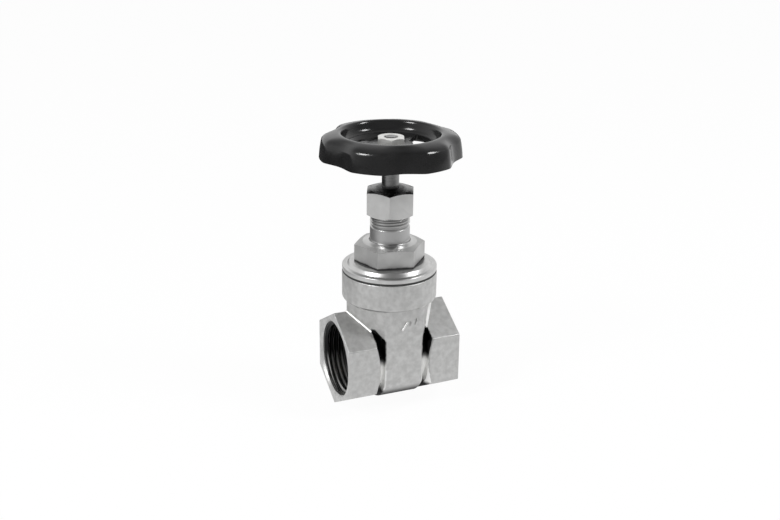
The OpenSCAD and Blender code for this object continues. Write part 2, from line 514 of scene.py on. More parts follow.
class Effects:
    """Node groups that several finishes share, each built once."""

    @staticmethod
    @cache
    def grain() -> bpy.types.NodeTree:
        """Fine pits and broad clouding: the two scales of a blasted or dull surface."""
        net = Wiring.group("surface_grain", {"Fine": 9000.0, "Broad": 160.0}, ("Pits", "Cloud"))
        nodes = net.tree.nodes
        spot = net.add("TexCoord")["Object"]
        for label, detail, out in (("Fine", 2.0, "Pits"), ("Broad", 4.0, "Cloud")):
            noise = net.add("TexNoise", {"Vector": spot, "Detail": detail,
                                         "Scale": nodes["in"].outputs[label]})
            net.feed(nodes["out"], {out: noise["Fac"]})
        return net.tree

    @staticmethod
    @cache
    def places() -> bpy.types.NodeTree:
        """Distances from the stem, the pipe's axis, the nearer end and the middle, and the height."""
        net = Wiring.group("places", {"Ragged": 0.0}, [m.value for m in Measure])
        nodes = net.tree.nodes
        spot = net.add("TexCoord")["Object"]
        centre = net.add("Mapping", {"Vector": spot, "Location": (-ValveAxes.STEM_X, 0, 0),
                                     "Scale": (1 / MM,) * 3})["Vector"]
        noise = net.add("TexNoise", {"Vector": spot, "Scale": 420.0, "Detail": 3.0})["Fac"]
        swing = net.maths("MULTIPLY", net.maths("SUBTRACT", noise, 0.5), nodes["in"].outputs["Ragged"])
        along, aside, height = net.add("SeparateXYZ", {"Vector": centre})
        measured = {
            Measure.FROM_STEM: net.span(along, aside),
            Measure.FROM_PIPE: net.span(aside, height),
            Measure.FROM_END: net.maths("SUBTRACT", ValveAxes.STEM_X, net.maths("ABSOLUTE", along)),
            Measure.FROM_MIDDLE: net.maths("ABSOLUTE", aside),
            Measure.HEIGHT: height}
        net.feed(nodes["out"], {measure.value: net.maths("ADD", value, swing)
                                for measure, value in measured.items()})
        return net.tree

    @staticmethod
    @cache
    def lathe() -> bpy.types.NodeTree:
        """Rings that a lathe tool leaves, from the distance to the stem and the height."""
        net = Wiring.group("lathe_rings", {"Rings": 1.5}, ("Rings",))
        nodes = net.tree.nodes
        places = net.add("Group", node_tree=Effects.places())
        total = net.maths("ADD", places[Measure.FROM_STEM.value], places[Measure.HEIGHT.value])
        noise = net.add("TexNoise", {"W": total, "Scale": nodes["in"].outputs["Rings"], "Detail": 3.0},
                        noise_dimensions="1D")
        net.feed(nodes["out"], {"Rings": noise["Fac"]})
        return net.tree


@dataclass(frozen=True)
class StainAndPaintedLight:
    """A patch laid on a finish where all of its fades overlap; the patches are dull or dirty places and
    painted shade, highlights and reflections.

    Attributes:
        colour: its colour.
        fades: for each measure, the value where the stain is gone and the one where it is full.
        rough: its roughness.
        ragged: how far its border wanders, in millimetres.
    """

    colour: Colour
    fades: tuple[tuple[Measure, float, float], ...]
    rough: float = 0.6
    ragged: float = 1.0


@dataclass(frozen=True)
class Finish:
    """One finish of the valve: a metal, an enamel or a rubber.

    Attributes:
        name: material name.
        light: colour of the cleaner places.
        dark: colour of the duller places.
        metallic: 1 for bare or plated metal.
        rough: smallest and largest roughness.
        pits: strength of the fine bump.
        fine: scale of the fine bump.
        broad: scale of the clouding.
        rings: strength of the lathe rings, 0 for none.
        sheen: the specular level of a coating, 0.5 for a plain one.
        stains_and_painted_light: dull or dirty places and painted shade, highlights and reflections,
            laid over each other.
    """

    name: str
    light: Colour
    dark: Colour
    metallic: float = 1.0
    rough: tuple[float, float] = (0.3, 0.4)
    pits: float = 0.1
    fine: float = 9000.0
    broad: float = 160.0
    rings: float = 0.0
    sheen: float = 0.5
    stains_and_painted_light: tuple[StainAndPaintedLight, ...] = ()

    CLOUD_SPAN: ClassVar[tuple[float, float]] = (0.35, 0.65)
    RING_SHARE: ClassVar[float] = 0.7
    BUMP_DEPTH: ClassVar[float] = 0.0002

    def _stained_and_painted(self, net: Wiring, tone: Feed, gloss: Feed) -> tuple[Feed, Feed]:
        """Lays the dull or dirty places and the painted shade, highlights and reflections over the
        finish.

        Args:
            net: the material's wiring.
            tone: the clean colour.
            gloss: the clean roughness.

        Returns:
            The colour and the roughness with these patches laid on.
        """
        for dirt_and_light in self.stains_and_painted_light:
            places = net.add("Group", {"Ragged": dirt_and_light.ragged}, node_tree=Effects.places())
            masks = [net.fade(places[measure.value], ends, shape="SMOOTHSTEP")
                     for measure, *ends in dirt_and_light.fades]
            mask = reduce(lambda first, second: net.maths("MULTIPLY", first, second), masks)
            tone = net.mix(mask, tone, (*dirt_and_light.colour, 1.0), "RGBA")
            gloss = net.mix(mask, gloss, dirt_and_light.rough)
        return tone, gloss

    def build(self) -> bpy.types.Material:
        """Makes the material once and returns it from then on."""
        made = bpy.data.materials.get(self.name)
        if made:
            return made
        mat = bpy.data.materials.new(self.name)
        mat.use_nodes = True
        net = Wiring(mat.node_tree)
        grain = net.add("Group", {"Fine": self.fine, "Broad": self.broad}, node_tree=Effects.grain())
        cloud, height, strength = grain["Cloud"], grain["Pits"], self.pits
        clouded = net.fade(cloud, self.CLOUD_SPAN)
        tone = net.mix(clouded, (*self.light, 1.0), (*self.dark, 1.0), "RGBA")
        tone, gloss = self._stained_and_painted(net, tone, net.fade(cloud, (0.0, 1.0), self.rough))
        if self.rings:
            lathe = net.add("Group", node_tree=Effects.lathe())
            height, strength = net.mix(self.RING_SHARE, height, lathe["Rings"]), self.rings
        bump = net.add("Bump", {"Height": height, "Strength": strength, "Distance": self.BUMP_DEPTH})
        net.feed(mat.node_tree.nodes["Principled BSDF"], {
            "Base Color": tone, "Roughness": gloss, "Normal": bump["Normal"],
            "Metallic": self.metallic, "Specular IOR Level": self.sheen})
        return mat


class ValveAxes:
    """Places that every sub-assembly shares, in millimetres, read from the frame's boxes."""

    LENGTH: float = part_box("body")[1].x / MM
    STEM_X: float = LENGTH / 2


class Palette:
    """The finishes of this valve.

    The patches share three values: a black for painted shade and reflection, the places in the clefts
    beside the chest, where shade and light are painted, and the places inside the ports.
    """

    _BLACK = (0.012, 0.012, 0.012)
    _GAP = ((Measure.FROM_END, 12.9, 13.4), (Measure.FROM_END, 18.2, 17.2),
            (Measure.FROM_STEM, 8.0, 9.5), (Measure.FROM_MIDDLE, 18.5, 18.2))
    _INSIDE = ((Measure.FROM_END, 12.6, 11.6), (Measure.FROM_PIPE, 16.75, 16.45),
               (Measure.FROM_END, 0.8, 1.3))
    # Near-white nickel that paints a lamp's glint on the corner fillets and on the slanted stroke of the
    # size mark.
    PAINTED_HIGHLIGHT = Finish("painted_highlight_nickel", (0.92, 0.92, 0.91), (0.86, 0.86, 0.85), rough=(0.26, 0.34),
                    pits=0.2, fine=2600.0, broad=420.0)
    BLASTED = Finish("blasted_nickel", (0.57, 0.57, 0.565), (0.475, 0.475, 0.47), rough=(0.42, 0.5),
                     pits=0.3, fine=2600.0, broad=420.0, stains_and_painted_light=(
        # Painted light: near-white in the lower half of the clefts beside the chest, a painted bright
        # reflection.
        StainAndPaintedLight((0.9, 0.9, 0.89), (*_GAP, (Measure.HEIGHT, 2.0, 0.0))),
        # Painted shade: black in the upper part of the clefts beside the chest, under the shoulder.
        StainAndPaintedLight(_BLACK, (*_GAP, (Measure.HEIGHT, 1.0, 4.0), (Measure.HEIGHT, 17.4, 16.4),
                       (Measure.FROM_PIPE, 21.9, 21.2))),
        # Painted shade: black at the bottom of the clefts beside the chest.
        StainAndPaintedLight(_BLACK, (*_GAP, (Measure.HEIGHT, -10.5, -13.0))),
        # Painted shade: near-black along the underside of the chest, darker towards the bottom.
        StainAndPaintedLight((0.03, 0.03, 0.03), ((Measure.FROM_END, 17.2, 17.8), (Measure.HEIGHT, -9.8, -15.6))),
        # Painted shade inside the ports, over a bore that is partly oily and dark.
        StainAndPaintedLight((0.015, 0.015, 0.015), _INSIDE, rough=0.4, ragged=0.15),
        # Painted light on the thread crests low in the ports, where a lamp reaches, partly bright crest
        # wear.
        StainAndPaintedLight((0.45, 0.45, 0.44), (*_INSIDE, (Measure.FROM_PIPE, 16.2, 15.5),
                                   (Measure.FROM_PIPE, 14.0, 14.8), (Measure.HEIGHT, -3.0, -10.0)),
              rough=0.3, ragged=0.2)))
    TURNED = Finish("turned_nickel", (0.59, 0.59, 0.585), (0.53, 0.53, 0.525), rough=(0.28, 0.36),
                    pits=0.1, fine=4000.0, broad=220.0, rings=0.2, stains_and_painted_light=(
        StainAndPaintedLight((0.42, 0.42, 0.42), ((Measure.HEIGHT, 53.6, 54.2), (Measure.HEIGHT, 59.6, 59.2),
                                   (Measure.FROM_STEM, 9.2, 8.9)), rough=0.36),
        # Painted shade: a dark line in the crease at the hexagon's foot.
        StainAndPaintedLight((0.16, 0.16, 0.16), ((Measure.HEIGHT, 44.9, 44.0), (Measure.HEIGHT, 43.0, 43.7),
                                   (Measure.FROM_STEM, 15.5, 14.9)), ragged=0.7),
        # Painted shade in the neck thread's grooves.
        StainAndPaintedLight((0.36, 0.36, 0.36), ((Measure.HEIGHT, 59.2, 59.6), (Measure.FROM_STEM, 8.4, 8.0)),
              rough=0.4, ragged=0.1),
        # Painted shade in the fillet at the neck's foot.
        StainAndPaintedLight((0.12, 0.12, 0.12), ((Measure.HEIGHT, 53.9, 53.2), (Measure.FROM_STEM, 9.35, 8.9)),
              rough=0.4, ragged=0.5)))
    GLAND = Finish("milled_gland", (0.64, 0.64, 0.635), (0.57, 0.57, 0.565), rough=(0.46, 0.54),
                   pits=0.2, fine=4600.0, broad=160.0)
    FLATS = Finish("milled_flats", (0.54, 0.54, 0.535), (0.47, 0.47, 0.465), rough=(0.44, 0.52),
                   pits=0.2, fine=4600.0, broad=160.0, stains_and_painted_light=(
        # Painted shade: a dark line along the foot of the flats.
        StainAndPaintedLight((0.06, 0.06, 0.06), ((Measure.HEIGHT, 44.9, 44.0), (Measure.HEIGHT, 43.0, 43.7)),
              ragged=0.9),))
    # Near-black top of the gland nut: painted reflection of the black handwheel, partly grease; black
    # painted reflection of the stem round it.
    GREASE_AND_REFLECTION = Finish("grease_and_painted_reflection", (0.11, 0.11, 0.11), (0.075, 0.075, 0.075), rough=(0.14, 0.22),
                     pits=0.2, fine=4000.0, broad=220.0, stains_and_painted_light=(
        StainAndPaintedLight(_BLACK, ((Measure.FROM_STEM, 7.2, 5.6),), rough=0.35, ragged=2.0),))
    # Dark grey steel, darkened further as painted shade under the handwheel.
    STEM = Finish("drawn_stem_painted_shade", (0.22, 0.22, 0.22), (0.15, 0.15, 0.15), rough=(0.2, 0.3),
                  pits=0.15, fine=3000.0, broad=260.0, rings=0.25)
    BRASS = Finish("machined_brass", (0.78, 0.60, 0.32), (0.66, 0.50, 0.26), rough=(0.22, 0.36),
                   pits=0.15, fine=3000.0, broad=240.0, rings=0.15)
    ENAMEL = Finish("stoved_black", (0.009, 0.009, 0.0092), (0.013, 0.013, 0.0133), metallic=0.0,
                    rough=(0.13, 0.2), pits=0.1, fine=400.0, broad=120.0, sheen=0.4)
    ZINC = Finish("zinc_plate", (0.74, 0.74, 0.72), (0.62, 0.62, 0.60), metallic=0.55, rough=(0.3, 0.42),
                  pits=0.2, fine=2500.0, broad=400.0)
    RUBBER = Finish("sealing_rubber", (0.02, 0.02, 0.02), (0.035, 0.035, 0.034), metallic=0.0,
                    rough=(0.55, 0.7), pits=0.3, fine=3000.0, broad=400.0)
    PACKING = Finish("graphite_packing", (0.05, 0.05, 0.05), (0.09, 0.09, 0.09), metallic=0.0,
                     rough=(0.5, 0.7), pits=0.4, fine=1500.0, broad=500.0)


# --------------------------------------------------------------- sub-assemblies
@dataclass
class Body:
    """The forging with its two hexagonal ends, its size mark and the threads in its ports.

    A pair of sizes holds the one of the inlet's side first, then the one of the outlet's side.
    """

    edge: float = 0.35
    end_af: float = 38.0
    end_width: float = 12.8
    inner_face: float = 14.8
    neck_radius: float = 15.8
    neck_start: float = 11.8
    chest_half: float = 9.1
    chest_side: float = 17.6
    belly_radius: float = 19.7
    belly_edge: float = 0.6
    shoulder: float = 20.3
    shoulder_edge: float = 0.5
    shoulder_low: float = 13.2
    shoulder_rise: float = 19.9
    shoulder_top: float = 26.4
    relief: float = 13.4
    relief_lean: float = 0.03
    collar_radius: float = 20.9
    collar_top: float = 38.9
    fillets: tuple[float, float] = (0.74, 0.95)
    weld_lengths: tuple[float, float] = (15.1, 17.4)
    weld_root: float = 0.6
    weld_sink: float = 0.02
    weld_lead: float = 0.2
    bore: float = 12.0
    port_radius: float = 16.62
    port_depth: float = 11.0
    chamber_radius: float = 15.3
    chamber_floor: float = 19.6
    bonnet_bore: float = 17.5
    bonnet_bore_low: float = 28.0
    seat_half: float = 6.05
    seat_slope: float = 4.0
    seat_low: float = -16.0
    seat_high: float = 24.0
    pocket_side: float = 14.6
    pocket_radius: float = 15.2
    pocket_half: float = 12.0
    pocket_top: float = 23.0
    thread_tip: float = 15.2
    thread_pitch: float = 2.309
    thread_from: float = 0.9
    thread_turns: float = 4.1
    mark_height: float = 0.6
    mark_face: float = -17.6
    mark_highlight_to: float = 28.0

    def _end(self, outlet: bool) -> bmesh.types.BMesh:
        """Makes one hexagonal end, turned off with a cone on its inner side.

        Args:
            outlet: True for the outlet's end.

        Returns:
            The end in its place.
        """
        block = Bench.hexagon(self.end_af, 0.0, self.inner_face + 1.0, 0.0)
        Bench.soften(block, self.edge, segments=3)
        reach = self.end_af / math.sqrt(3)
        cone = Bench.turned([(0, -1), (reach - 0.3, -1), (reach - 0.3, 0), (reach + 0.4, 0.6),
                             (reach + 0.4, self.end_width - 0.3),
                             (self.end_af / 2 - 0.6, self.inner_face), (0, self.inner_face)])
        block = Bench.carve(block, cone, Cut.KEEP_COMMON)
        Bench.place(block, Axis.PIPE, flip=outlet)
        return Bench.carve(block, self._relief(outlet), Cut.REMOVE)

    def _relief(self, outlet: bool) -> bmesh.types.BMesh:
        """Makes the tool that cuts an end's upper facets back beside the shoulder.

        Args:
            outlet: True for the outlet's end.

        Returns:
            The tool in its place.
        """
        way = -1 if outlet else 1
        foot = ValveAxes.LENGTH if outlet else 0.0
        bm = bmesh.new()
        verts = [bm.verts.new((foot + way * (self.relief + self.relief_lean * (abs(y) - 8.9)), y, z))
                 for y, z in ((0, 0), (26, 15), (26, 32), (0, 32), (-26, 32), (-26, 15))]
        bm.faces.new(verts[:4])
        bm.faces.new([verts[0], *verts[3:]])
        return Bench.extruded(bm, (way * 6, 0, 0))

    def _slab(self, side: float, radius: float, half: float, top: float) -> bmesh.types.BMesh:
        """Makes a flat-sided block with a round underside across the pipe.

        Args:
            side: half of its width.
            radius: radius of its underside.
            half: half of its length along the pipe.
            top: height of its top.

        Returns:
            The block, in the middle of the body.
        """
        limit = math.acos(side / radius)
        arc = [-limit - (math.pi - 2 * limit) * k / 48 for k in range(49)]
        belly = [(radius * math.cos(a), radius * math.sin(a)) for a in arc]
        outline = [(side, top), *belly, (-side, top)]
        sheet = Bench.sheet([(ValveAxes.STEM_X - half, y, z) for y, z in outline])
        return Bench.extruded(sheet, (2 * half, 0, 0))

    def _shoulder(self) -> bmesh.types.BMesh:
        """Extrudes the six-sided shoulder over the chest."""
        half, side = self.chest_half, self.chest_side
        outline = [(-self.shoulder, 0), (-half, -side), (half, -side), (self.shoulder, 0), (half, side),
                   (-half, side)]
        bm = bmesh.new()
        foot = [bm.verts.new((ValveAxes.STEM_X + x, y, self.shoulder_low)) for x, y in outline]
        bm.faces.new(foot)
        made = bmesh.ops.extrude_face_region(bm, geom=list(bm.faces), use_keep_orig=True)
        rise = [g for g in made["geom"] if isinstance(g, bmesh.types.BMVert)]
        bmesh.ops.translate(bm, verts=rise, vec=(0, 0, self.shoulder_top - self.shoulder_low))
        for pair in ((foot[1], foot[5]), (foot[2], foot[4])):
            bmesh.ops.connect_verts(bm, verts=pair)
        for tip in (foot[0], foot[3]):
            tip.co.z = self.shoulder_rise
        bmesh.ops.recalc_face_normals(bm, faces=bm.faces)
        return Bench.soften(bm, self.shoulder_edge, segments=4,
                            only=lambda e: abs(e.verts[0].co.z - e.verts[1].co.z) > 1)

    def _weld(self, outlet: bool, back: bool) -> bmesh.types.BMesh:
        """Makes the fillet between an end's upper facet and the shoulder's side.

        Args:
            outlet: True for the outlet's end.
            back: True for the far side.

        Returns:
            A closed bar with a hollow face, in its place.
        """
        side = 1.0 if back else -1.0
        way = -1.0 if outlet else 1.0
        lean = (self.shoulder - self.chest_half) / self.chest_side
        line = Vector((way * lean, side, -math.tan(math.radians(30)))).normalized()
        facet = Vector((0, side * 0.5, math.cos(math.radians(30))))
        wall = Vector((-way * self.chest_side, side * (self.shoulder - self.chest_half), 0)).normalized()
        out_a = facet.cross(line).normalized()
        out_a = out_a if out_a.dot(wall) > 0 else -out_a
        out_b = wall.cross(line).normalized()
        out_b = out_b if out_b.dot(facet) > 0 else -out_b
        middle = (out_a + out_b).normalized()
        reach = self.fillets[outlet]
        apex = Vector((ValveAxes.STEM_X - way * self.shoulder, 0, self.end_af / math.sqrt(3)))
        centre = middle * (reach / middle.dot(out_a))
        arc = [centre + (out_a * reach - centre).slerp(out_b * reach - centre, k / 6) for k in range(7)]
        ring = [-middle * self.weld_root, out_a * reach - facet * self.weld_sink, *arc[1:-1],
                out_b * reach - wall * self.weld_sink]
        sheet = Bench.sheet([apex + point - line * self.weld_lead for point in ring])
        return Bench.extruded(sheet, line * self.weld_lengths[outlet])

    def _hollows(self) -> list[bmesh.types.BMesh]:
        """Makes the tools that cut the waterway, the ports, the wedge's pocket and the chamber."""
        bore = Bench.turned([(0, -1), (self.bore, -1), (self.bore, ValveAxes.LENGTH + 1),
                             (0, ValveAxes.LENGTH + 1)], steps=96)
        tools = [Bench.place(bore, Axis.PIPE)]
        for outlet in (False, True):
            wide = self.port_radius
            port = Bench.turned([(0, -1), (wide + 1.3, -1), (wide + 1.05, -0.1), (wide + 0.8, 0.12),
                                 (wide + 0.1, 0.95), (wide, 1.2), (wide, self.port_depth),
                                 (0, self.port_depth)])
            tools.append(Bench.place(port, Axis.PIPE, flip=outlet))
        slope = math.tan(math.radians(self.seat_slope))
        low, high = self.seat_low, self.seat_high
        corners = [(-self.seat_half - low * slope, low), (self.seat_half + low * slope, low),
                   (self.seat_half + high * slope, high), (-self.seat_half - high * slope, high)]
        sheet = Bench.sheet([(ValveAxes.STEM_X + x, -20, z) for x, z in corners])
        prism = Bench.extruded(sheet, (0, 40, 0))
        pocket = self._slab(self.pocket_side, self.pocket_radius, self.pocket_half, self.pocket_top)
        tools.append(Bench.carve(pocket, prism, Cut.KEEP_COMMON))
        chamber = Bench.turned([(0, self.chamber_floor), (self.chamber_radius, self.chamber_floor),
                                (self.chamber_radius, self.bonnet_bore_low),
                                (self.bonnet_bore, self.bonnet_bore_low),
                                (self.bonnet_bore, self.collar_top + 5), (0, self.collar_top + 5)],
                               steps=96)
        tools.append(Bench.place(chamber, Axis.STEM))
        return tools

    def forging(self) -> bpy.types.Object:
        """Joins the forging's shapes, cuts its hollows and returns its object."""
        neck_length = ValveAxes.LENGTH - 2 * self.neck_start
        bm = Bench.turned([(0, 0), (self.neck_radius, 0), (self.neck_radius, neck_length),
                           (0, neck_length)])
        Bench.place(bm, Axis.PIPE, start=self.neck_start)
        chest = self._slab(self.chest_side, self.belly_radius, self.chest_half, self.shoulder_low + 4)
        Bench.soften(chest, self.belly_edge, angle=15.0, segments=5,
                     only=lambda e: all(v.co.z < self.shoulder_low + 3.9 for v in e.verts)
                     or abs(e.verts[0].co.z - e.verts[1].co.z) > 5)
        collar = Bench.turned(Bench.eased([
            (0, 22), (16, 22), (17.2, 25.4), (20.3, 26.8), (self.collar_radius, 27.6),
            (self.collar_radius, self.collar_top), (0, self.collar_top)], 0.3, 3, keep=(0, 1, 6)))
        Bench.place(collar, Axis.STEM)
        for part in (Bench.clean(chest), self._shoulder(), self._end(False), self._end(True), collar):
            bm = Bench.carve(bm, part, Cut.JOIN)
        for tool in self._hollows():
            bm = Bench.carve(bm, tool, Cut.REMOVE)
        obj = Bench.finish(bm, "body_forging", Palette.BLASTED.build(), 30.0, tidy=False)
        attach(obj, "valve")
        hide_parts("body")
        return obj

    def welds(self) -> bpy.types.Object:
        """Lays the four fillets in the corners beside the shoulder, in a near-white finish that paints
        their highlight.
        """
        bars = [self._weld(outlet, back) for outlet in (False, True) for back in (False, True)]
        obj = Bench.finish(Bench.merge(bars), "forging_fillets", Palette.PAINTED_HIGHLIGHT.build(), 30.0)
        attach(obj, "valve")
        return obj

    def size_mark(self) -> bpy.types.Object:
        """Raises the plain size mark, a slanted one and two inch ticks, on the chest's face; the slanted
        one gets a painted highlight.
        """
        strokes = [((25.0, 16.6), (27.7, 20.5), 0.95), ((28.9, 18.4), (29.4, 20.4), 0.8),
                   ((31.3, 18.4), (32.2, 21.3), 0.9)]
        made = []
        for (x0, z0), (x1, z1), width in strokes:
            bar = bmesh.new()
            length = math.hypot(x1 - x0, z1 - z0)
            lean = math.atan2(z1 - z0, x1 - x0)
            spot = (Matrix.Translation(((x0 + x1) / 2, self.mark_face, (z0 + z1) / 2))
                    @ Matrix.Rotation(-lean, 4, "Y")
                    @ Matrix.Diagonal((length, self.mark_height * 2, width, 1.0)))
            bmesh.ops.create_cube(bar, size=1.0, matrix=spot)
            Bench.soften(bar, self.mark_height * 0.8, segments=4)
            made.append(bar)
        # The slanted stroke gets the near-white finish, a painted highlight.
        obj = Bench.finish(Bench.merge(made), "size_mark", Palette.BLASTED.build(), 60.0,
                           Palette.PAINTED_HIGHLIGHT.build(),
                           lambda face: face.calc_center_median().x < self.mark_highlight_to)
        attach(obj, "valve")
        return obj

    def port_thread(self, name: str, outlet: bool) -> bpy.types.Object:
        """Winds the thread ridge of one port.

        Args:
            name: name of the object.
            outlet: True for the outlet's port.

        Returns:
            The thread's object.
        """
        bm = Bench.ridge(self.port_radius + 0.02, self.thread_tip, self.thread_pitch,
                         self.thread_from + self.thread_pitch / 2, self.thread_turns)
        Bench.place(bm, Axis.PIPE, flip=outlet)
        obj = Bench.finish(bm, name, Palette.BLASTED.build())
        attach(obj, "valve")
        return obj

    def build(self) -> list[bpy.types.Object]:
        """Builds the forging, its fillets and mark, and both port threads."""
        return [self.forging(), self.welds(), self.size_mark(), self.port_thread("inlet_thread", False),
                self.port_thread("outlet_thread", True)]


@dataclass
class Bonnet:
    """The screwed bonnet: flange, stepped ring, hexagon, neck and neck thread."""

    flange_radius: float = 20.8
    seat_z: float = 39.7
    flange_top: float = 41.9
    hex_low: float = 43.9
    hex_af: float = 27.2
    hex_corner: float = 47.8
    crown_z: float = 52.8
    crown_radius: float = 9.9
    neck_radius: float = 8.7
    root_radius: float = 7.85
    thread_low: float = 59.6
    thread_pitch: float = 1.3
    neck_top: float = 71.6
    chamber_radius: float = 15.6
    skirt_low: float = 28.6
    skirt_radius: float = 17.5
    box_radius: float = 6.6
    box_z: float = 54.0
    bore: float = 4.08
    well_radius: float = 11.0
    well_top: float = 46.6
    edge: float = 0.25
    edge_from: float = 9.5
    flat_reach: float = 12.5

    def flange(self) -> bmesh.types.BMesh:
        """Turns the skirt, the flange and the stepped ring over it."""
        top, seat, ring = self.flange_top, self.seat_z, self.hex_low - 0.05
        outline = [(self.chamber_radius, self.skirt_low), (self.skirt_radius, self.skirt_low),
                   (self.skirt_radius, seat), (self.flange_radius, seat),
                   (self.flange_radius, top), (18.7, top - 0.1), (18.3, top + 0.6), (17.6, ring - 0.25),
                   (16.4, ring), (13.0, ring), (11.4, ring - 1.5), (self.chamber_radius, 38.4)]
        return Bench.turned(Bench.eased(outline, 0.4, 4, keep=(0, 1, 2, 9, 10, 11)))

    def hexagon(self) -> bmesh.types.BMesh:
        """Makes the hexagon, coned off on top, with its bore."""
        block = Bench.hexagon(self.hex_af, self.hex_low - 0.6, self.crown_z + 2, self.hex_corner)
        outline = [(0, self.hex_low - 2), (20, self.hex_low - 2), (20, self.crown_z - 2.7),
                   (self.crown_radius + 0.9, self.crown_z - 0.12), (0, self.crown_z - 0.12)]
        cone = Bench.turned(Bench.eased(outline, 1.1, 5, keep=(0, 1, 2, 4)))
        block = Bench.carve(block, cone, Cut.KEEP_COMMON)
        hole = Bench.turned([(0, self.hex_low - 3), (self.well_radius, self.hex_low - 3),
                             (self.well_radius, self.well_top), (self.bore, self.well_top),
                             (self.bore, self.crown_z + 7.2), (0, self.crown_z + 7.2)])
        block = Bench.carve(block, hole, Cut.REMOVE)
        return Bench.soften(block, self.edge, angle=9.0, segments=3, only=lambda e: all(
            math.hypot(v.co.x, v.co.y) > self.edge_from for v in e.verts))

    def neck(self) -> bmesh.types.BMesh:
        """Turns the neck with the fillet at its foot and the stuffing box inside."""
        foot, neck = self.crown_z - 0.1, self.neck_radius
        outline = [(self.bore, foot - 1.5), (self.crown_radius + 0.8, foot - 1.5),
                   (self.crown_radius + 0.8, foot - 0.16), (self.crown_radius, foot),
                   (neck + 0.62, foot + 0.18), (neck + 0.22, foot + 0.55), (neck, foot + 1.2),
                   (neck, self.thread_low - 0.3), (self.root_radius, self.thread_low + 0.15),
                   (self.root_radius, self.neck_top), (self.box_radius, self.neck_top),
                   (self.box_radius, self.box_z), (self.bore, self.box_z)]
        return Bench.turned(Bench.eased(outline, 0.2, 3, keep=(0, 1, 2, 8, 9, 10, 11, 12)))

    def _is_flat(self, face: bmesh.types.BMFace) -> bool:
        """Tells whether a face belongs to the hexagon's milled flats.

        Args:
            face: the face, in millimetres, at the stem's place.

        Returns:
            True for faces between the hexagon's ends that reach far from the stem.
        """
        reach = max(math.hypot(v.co.x - ValveAxes.STEM_X, v.co.y) for v in face.verts)
        height = face.calc_center_median().z
        return reach > self.flat_reach and self.hex_low < height < self.crown_z - 0.5

    def build(self) -> list[bpy.types.Object]:
        """Builds the bonnet in one object, at the stem's place."""
        turns = (self.neck_top - self.thread_low - 0.8) / self.thread_pitch
        thread = Bench.ridge(self.root_radius - 0.02, self.neck_radius, self.thread_pitch,
                             self.thread_low + 0.5, turns)
        bm = Bench.merge([self.flange(), self.hexagon(), self.neck(), thread])
        Bench.place(bm, Axis.STEM)
        obj = Bench.finish(bm, "bonnet_turned", Palette.TURNED.build(), 35.0, Palette.FLATS.build(),
                           self._is_flat)
        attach(obj, "valve")
        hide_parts("bonnet")
        return [obj]


@dataclass
class Gland:
    """The gland nut; the follower and the packing stay as they are, under it."""

    af: float = 19.8
    corner: float = 5.5
    low: float = 64.2
    top: float = 76.3
    thread_radius: float = 8.72
    cone_radius: float = 13.0
    well_radius: float = 4.6
    well_rise: float = 0.55
    lip: float = 2.8
    bore: float = 3.82
    edge: float = 0.22

    def build(self) -> list[bpy.types.Object]:
        """Builds the nut with its two cones and the shallow cone round the stem."""
        block = Bench.hexagon(self.af, self.low, self.top + 1, self.corner)
        shell = Bench.turned([(0, self.low), (self.thread_radius + 0.1, self.low),
                              (self.cone_radius, self.low + 2.5), (self.cone_radius, self.top - 1.7),
                              (self.af / 2 - 0.8, self.top - 0.15),
                              (self.well_radius, self.top + self.well_rise),
                              (0, self.top + self.well_rise)])
        block = Bench.carve(block, shell, Cut.KEEP_COMMON)
        hole = Bench.turned([(0, self.low - 1), (self.thread_radius, self.low - 1),
                             (self.thread_radius, self.top - self.lip), (self.bore, self.top - self.lip),
                             (self.bore, self.top + 2), (0, self.top + 2)])
        block = Bench.carve(block, hole, Cut.REMOVE)
        Bench.soften(block, self.edge, angle=9.0, segments=3)
        Bench.place(block, Axis.STEM)
        # The up-facing faces get the near-black finish: a painted reflection of the handwheel and stem,
        # partly grease.
        obj = Bench.finish(block, "gland_nut_plated", Palette.GLAND.build(), 32.0,
                           Palette.GREASE_AND_REFLECTION.build(), lambda face: face.normal.z > 0.2, tidy=False)
        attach(obj, "valve")
        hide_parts("gland_nut")
        return [obj]


